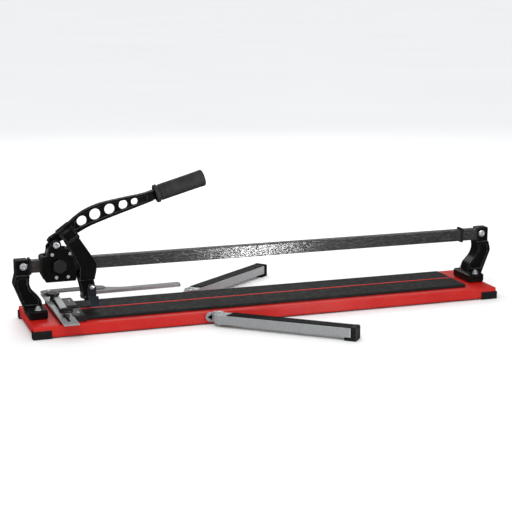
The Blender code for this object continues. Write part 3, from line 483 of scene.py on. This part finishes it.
def finish_piece(bm, name, body, slot, material=None, sharp=32):
    """Turns a bmesh in frame coordinates into a piece that rides on a body."""
    bmesh.ops.recalc_face_normals(bm, faces=bm.faces)
    mesh = bpy.data.meshes.new(name)
    bm.to_mesh(mesh)
    bm.free()
    mesh.shade_smooth()
    mesh.set_sharp_from_angle(angle=math.radians(sharp))
    mesh.materials.append(material or FINISH[slot])
    piece = bpy.data.objects.new(name, mesh)
    bpy.context.scene.collection.objects.link(piece)
    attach(piece, body)
    return piece


def loft(rings, name, body, slot, sharp=32):
    """A closed form through rings of points that have the same count."""
    bm = bmesh.new()
    loops = [[bm.verts.new(point) for point in ring] for ring in rings]
    count = len(loops[0])
    for low, high in zip(loops, loops[1:]):
        for i in range(count):
            j = (i + 1) % count
            bm.faces.new((low[i], low[j], high[j], high[i]))
    bm.faces.new(loops[0])
    bm.faces.new(loops[-1])
    return finish_piece(bm, name, body, slot, sharp=sharp)


def ring_reach(kind, radius, angle):
    """How far out a ring's edge is at an angle: a circle, a hexagon or twelve shallow lobes."""
    if kind == "hex":
        return radius * math.cos(math.pi / 6) / math.cos(angle % (math.pi / 3) - math.pi / 6)
    if kind == "lobes":
        return radius * (0.965 + 0.035 * math.cos(12 * angle))
    return radius


def stack(name, rings, origin, direction, body, slot, steps=24, material=None, sharp=32):
    """A closed form of stacked rings. Each ring is (kind, radius, height) in millimetres along direction."""
    bm = bmesh.new()
    turn = Vector((0, 0, 1)).rotation_difference(Vector(direction)).to_matrix().to_4x4()
    place = Matrix.Translation(origin) @ turn
    loops = []
    for kind, radius, height in rings:
        angles = [2 * math.pi * i / steps for i in range(steps)] if radius else [0.0]
        loop = []
        for angle in angles:
            reach = ring_reach(kind, radius, angle) * MM
            point = Vector((reach * math.cos(angle), reach * math.sin(angle), height * MM))
            loop.append(bm.verts.new(place @ point))
        loops.append(loop)
    for low, high in zip(loops, loops[1:]):
        for i in range(steps):
            j = (i + 1) % steps
            corners = [low[i % len(low)], low[j % len(low)], high[j % len(high)], high[i % len(high)]]
            corners = list(dict.fromkeys(corners))
            bm.faces.new(corners)
    return finish_piece(bm, name, body, slot, material, sharp)


def threads(radius, start, end, pitch=1.0):
    """Rings of a shallow thread between two heights, going down from start."""
    rings = []
    depth = start
    while depth - pitch > end:
        rings += [("round", radius, depth - 0.2 * pitch), ("round", radius * 0.88, depth - 0.6 * pitch)]
        depth -= pitch
    return rings


# Fastener heads from the top down, as (kind, radius, height) rings in millimetres.
HEX_FLANGE = [("round", 0, -1.2), ("round", 2.6, -1.2), ("round", 3.6, -0.5), ("round", 4.4, 0),
              ("round", 6.6, 0), ("hex", 8.2, -0.9), ("hex", 8.2, -4.2), ("round", 8.8, -4.3),
              ("round", 10.2, -4.6), ("round", 10.5, -5.0), ("round", 10.5, -6.0)]
SMALL_HEX = [("round", 0, -0.7), ("round", 1.5, -0.7), ("round", 2.1, 0), ("round", 3.5, 0),
             ("hex", 4.6, -0.6), ("hex", 4.6, -2.6), ("round", 5.0, -2.7), ("round", 5.0, -3.5)]
PIVOT_HEAD = [("hex", 0, -3.2), ("hex", 4.0, -3.2), ("hex", 4.2, -0.5), ("round", 5.0, 0), ("round", 7.4, 0),
              ("round", 9.0, -0.9), ("round", 9.5, -2.0), ("round", 9.5, -5.0)]
PAN_SOCKET = [("hex", 0, -1.6), ("hex", 2.1, -1.6), ("hex", 2.2, -0.2), ("round", 2.9, 0),
              ("round", 3.9, -0.3), ("round", 4.8, -1.0), ("round", 5.0, -1.7), ("round", 5.0, -2.5)]
FENCE_HEAD = [("hex", 0, -1.7), ("hex", 2.4, -1.7), ("hex", 2.5, -0.3), ("round", 3.3, 0),
              ("round", 4.6, -0.3), ("round", 5.7, -1.1), ("round", 6.0, -2.0), ("round", 6.0, -3.0)]
HINGE_HEAD = [("round", 0, -0.4), ("round", 3.6, -0.4), ("round", 4.2, 0), ("round", 5.2, 0),
              ("hex", 7.0, -0.8), ("hex", 7.0, -4.0)]
POST_NUT = ([("round", 0, 0), ("round", 3.3, 0)] + threads(4.0, 0, -3.4)
            + [("round", 3.9, -3.5), ("round", 6.0, -3.5), ("hex", 7.5, -4.4), ("hex", 7.5, -10.2),
               ("round", 9.1, -10.4), ("round", 9.5, -10.9), ("round", 9.5, -12.5)])
RIVET = [("round", 0, 0), ("round", 3.0, -0.1), ("round", 5.4, -0.9), ("round", 6.7, -2.6),
         ("round", 7.0, -4.0)]


def fastener(node, way, head, shaft, tail=()):
    """Replaces one CAD fastener. head and tail are ring lists below the top and above the end."""
    low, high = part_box(node)
    axis = max(range(3), key=lambda i: abs(way[i]))
    top, end = (high, low) if way[axis] > 0 else (low, high)
    centre = (Vector(low) + Vector(high)) / 2
    centre[axis] = end[axis]
    length = abs(top[axis] - end[axis]) / MM
    foot = list(tail) or [("round", 0, 0), ("round", shaft - 0.7, 0), ("round", shaft, 0.8)]
    body = [(kind, radius, length + depth) for kind, radius, depth in reversed(head)]
    joint = [("round", shaft, foot[-1][2]), ("round", shaft, body[0][2])]
    piece = stack("detail_" + node, foot + joint + body, centre, way, BODIES[node], SLOTS[node])
    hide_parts(node)


def build_fasteners():
    """Detailed heads, sockets, nuts and threads in place of the plain CAD fasteners."""
    for end in ("left", "right"):
        fastener("rail_bolt_" + end, (0, -1, 0), HEX_FLANGE, 6.0)
        for where in ("near", "far"):
            fastener(f"post_screw_{end}_{where}", (0, 0, 1), POST_NUT, 4.0)
    for level in ("top", "bottom"):
        for i in (0, 1):
            fastener(f"roller_bolt_{level}_{i}", (0, -1, 0), SMALL_HEX, 4.0)
    fastener("pivot_bolt", (0, -1, 0), PIVOT_HEAD, 6.0)
    fastener("foot_pin", (0, -1, 0), RIVET, 4.0)
    fastener("fence_pivot_screw", (0, 0, 1), FENCE_HEAD, 3.0)
    hinge_nut = [("round", 0, 0), ("round", 5.3, 0), ("hex", 6.5, 0.7), ("hex", 6.5, 3.2)]
    for word in ("near", "far"):
        fastener("stop_screw_" + word, (0, 0, 1), PAN_SOCKET, 2.5)
        fastener("arm_hinge_bolt_" + word, (0, 0, 1), HINGE_HEAD, 4.0, hinge_nut)


def bar(name, start, end, radius, body, slot, steps=10, material=None):
    """A thin round bead with domed ends."""
    start, end = Vector(start), Vector(end)
    length = (end - start).length / MM
    r = radius
    rings = [("round", 0, 0), ("round", 0.7 * r, 0.3 * r), ("round", r, r), ("round", r, length - r),
             ("round", 0.7 * r, length - 0.3 * r), ("round", 0, length)]
    return stack(name, rings, start, end - start, body, slot, steps, material, sharp=60)


def build_fence_rims():
    """Rolled edges on the rip bar's ends and along the fence bar."""
    low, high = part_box("rip_bar")
    for x, word in ((low[0] + 2.2 * MM, "left"), (high[0] - 2.2 * MM, "right")):
        bar("rip_rim_" + word, (x, low[1] + 1.5 * MM, high[2] - 0.4 * MM),
            (x, high[1] - 1.5 * MM, high[2] - 0.4 * MM), 1.5, "rip_slide", "aluminium")
    screw_low, screw_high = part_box("fence_pivot_screw")
    pivot = (Vector(screw_low) + Vector(screw_high)) / 2
    pivot.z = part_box("fence_bar")[1][2] - 0.4 * MM
    turn = Matrix.Rotation(FENCE_SKEW, 3, "Z")
    for y, word in ((-FENCE_EDGE, "near"), (FENCE_EDGE, "far")):
        start, end = (pivot + turn @ Vector((x * MM, y * MM, 0)) for x in FENCE_REACH)
        bar("fence_rim_" + word, start, end, 1.4, "fence", "aluminium", material=SPECIAL["fence_bar"])


def build_arm_details():
    """Ribbed rubber strips with a slanted start, the lips that hold them, and ribs on the end caps."""
    for side, word in ((-1, "near"), (1, "far")):
        low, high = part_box("arm_hinge_bolt_" + word)
        hinge = Vector(((low[0] + high[0]) / 2, (low[1] + high[1]) / 2, 0))
        turn = Matrix.Translation(hinge) @ Matrix.Rotation(side * ARM_OPEN[word], 4, "Z")
        floor_z, top_z = (value[2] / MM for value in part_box("arm_strip_" + word))
        section = [(-STRIP_EDGE, floor_z), (-STRIP_EDGE, top_z - 0.7)]
        for i in range(STRIP_RIBS):
            y = STRIP_PITCH * (i - 4)
            section += [(y - 0.8, top_z - 0.6), (y, top_z), (y + 1.6, top_z), (y + 2.4, top_z - 0.6)]
        section = [point for point in section if point[0] < STRIP_EDGE - 0.4]
        section += [(STRIP_EDGE, top_z - 0.7), (STRIP_EDGE, floor_z)]
        rings = [[turn @ (Vector((x + slant * (STRIP_EDGE - side * y), y, z)) * MM) for y, z in section]
                 for x, slant in ((STRIP_START, STRIP_SLANT), (ARM_LENGTH, 0.0))]
        body = "arm_" + word
        strip = loft(rings, "ribbed_strip_" + word, body, "black_rubber", 25)
        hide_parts("arm_strip_" + word)
        tube = SPECIAL["arm_tube_" + word]
        for y, label in ((-STRIP_EDGE - 0.45, "a"), (STRIP_EDGE + 0.45, "b")):
            start = turn @ (Vector((24, y, floor_z - 0.1)) * MM)
            end = turn @ (Vector((ARM_LENGTH - 2, y, floor_z - 0.1)) * MM)
            bar(f"strip_lip_{word}_{label}", start, end, 0.65, body, "aluminium", 8, tube)
        for i in range(CAP_RIBS):
            y = CAP_PITCH * (i - 2)
            start = turn @ (Vector((CAP_FACE, y, 4)) * MM)
            end = turn @ (Vector((CAP_FACE, y, 36)) * MM)
            bar(f"cap_rib_{word}_{i}", start, end, 0.9, body, "black_rubber", 8, CAP_RUBBER)


def build_recess_shade_plates():
    """A thin black plate inside the recess of each arm bracket: painted shade, standing in for the shadow in
    the recess.
    """
    for side, word in ((-1, "near"), (1, "far")):
        low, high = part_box("arm_bracket_" + word)
        skirt = high[1] if side < 0 else low[1]
        rings = [[(x * MM, skirt + side * depth * MM, z * MM) for x, z in RECESS] for depth in RECESS_DEPTHS]
        loft(rings, "bracket_recess_shade_" + word, BODIES["arm_bracket_" + word], "black_paint")


def build_grip():
    """The moulded rubber grip, with a rolled flange and a thicker rounded end."""
    length = (GRIP_END - GRIP_START).length / MM
    rings = [("round", 0, 3.0), ("round", 15.0, 3.0), ("round", 16.0, 0.6), ("round", 18.0, 0.0),
             ("round", 24.6, 0.0), ("round", 26.3, 0.8), ("round", 27.0, 2.6), ("round", 27.0, 8.0),
             ("round", 26.4, 9.8), ("round", 24.8, 11.0), ("round", 22.6, 11.6), ("round", 22.0, 12.8),
             ("round", 22.2, 14.4), ("round", 23.4, 15.4), ("round", 24.2, 17.0), ("round", 24.2, 21.0)]
    for i in range(3):
        at = 22.0 + 3.4 * i
        rings += [("round", 24.2, at), ("round", 23.5, at + 0.6), ("round", 23.5, at + 1.1),
                  ("round", 24.2, at + 1.7)]
    rings += [("round", 24.2, 60.0), ("round", 24.3, 110.0), ("round", 24.4, length - 16),
              ("round", 25.0, length - 12.0), ("round", 25.0, length - 5.0), ("round", 24.5, length - 2.6),
              ("round", 23.2, length - 1.0), ("round", 21.0, length - 0.2), ("round", 18.5, length),
              ("round", 12.0, length - 0.2), ("round", 11.0, length - 1.4), ("round", 0, length - 1.4)]
    grip = stack("moulded_grip", rings, GRIP_START, GRIP_END - GRIP_START, "lever_group", "black_rubber",
                 steps=64, material=SPECIAL["grip"])
    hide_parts("grip")


def build_lever_end():
    """The cast end of the lever, which runs on into the grip's flange."""
    axis = (GRIP_END - GRIP_START).normalized()
    rise = Vector((-axis.z, 0, axis.x))
    corner = 2.4
    rings = []
    sizes = ((-11.0, 13.2, 8.4), (-8.0, 14.0, 9.2), (-1.0, 14.6, 9.8), (1.2, 14.6, 9.8))
    for along, half_high, half_wide in sizes:
        centre = GRIP_START + axis * along * MM
        outline = [(half_wide, half_high - corner), (half_wide - corner, half_high),
                   (corner - half_wide, half_high), (-half_wide, half_high - corner),
                   (-half_wide, corner - half_high), (corner - half_wide, -half_high),
                   (half_wide - corner, -half_high), (half_wide, corner - half_high)]
        rings.append([centre + Vector((0, y * MM, 0)) + rise * z * MM for y, z in outline])
    loft(rings, "lever_end", "lever_group", "black_paint")


def build_knobs():
    """Clamp knobs with a scalloped rim. The near one has a thin neck, inside the eye of the tie strap."""
    for word, neck in KNOB_NECKS.items():
        node = "clamp_knob_" + word
        low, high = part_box(node)
        centre = Vector(((low[0] + high[0]) / 2, (low[1] + high[1]) / 2, low[2]))
        crown = (high[2] - low[2]) / MM
        under, shoulder = crown - KNOB_DISC, crown - KNOB_SHOULDER
        rings = [("round", 0, 0), ("round", 3.3, 0), ("round", 4.0, 0.8), ("round", 4.0, KNOB_STUD),
                 ("round", 9.2, KNOB_STUD), ("round", 9.5, KNOB_STUD + 0.4), ("round", 9.5, shoulder - 0.6),
                 ("round", 9.3, shoulder), ("round", neck, shoulder + 0.1), ("round", neck, under),
                 ("lobes", 18.2, under), ("lobes", 19.8, under + 1.2), ("lobes", 20.0, under + 2.4),
                 ("lobes", 20.0, crown - 2.8), ("lobes", 19.5, crown - 1.2), ("lobes", 18.0, crown - 0.2),
                 ("round", 15.0, crown), ("round", 9.0, crown), ("round", 8.4, crown - 0.8),
                 ("round", 0, crown - 0.8)]
        knob = stack("moulded_knob_" + word, rings, centre, (0, 0, 1), "knob_" + word, "black_plastic", 72)
        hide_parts(node)


build_camera()
build_stage()
finish_cad()
build_fasteners()
build_fence_rims()
build_arm_details()
build_recess_shade_plates()
build_grip()
build_lever_end()
build_knobs()
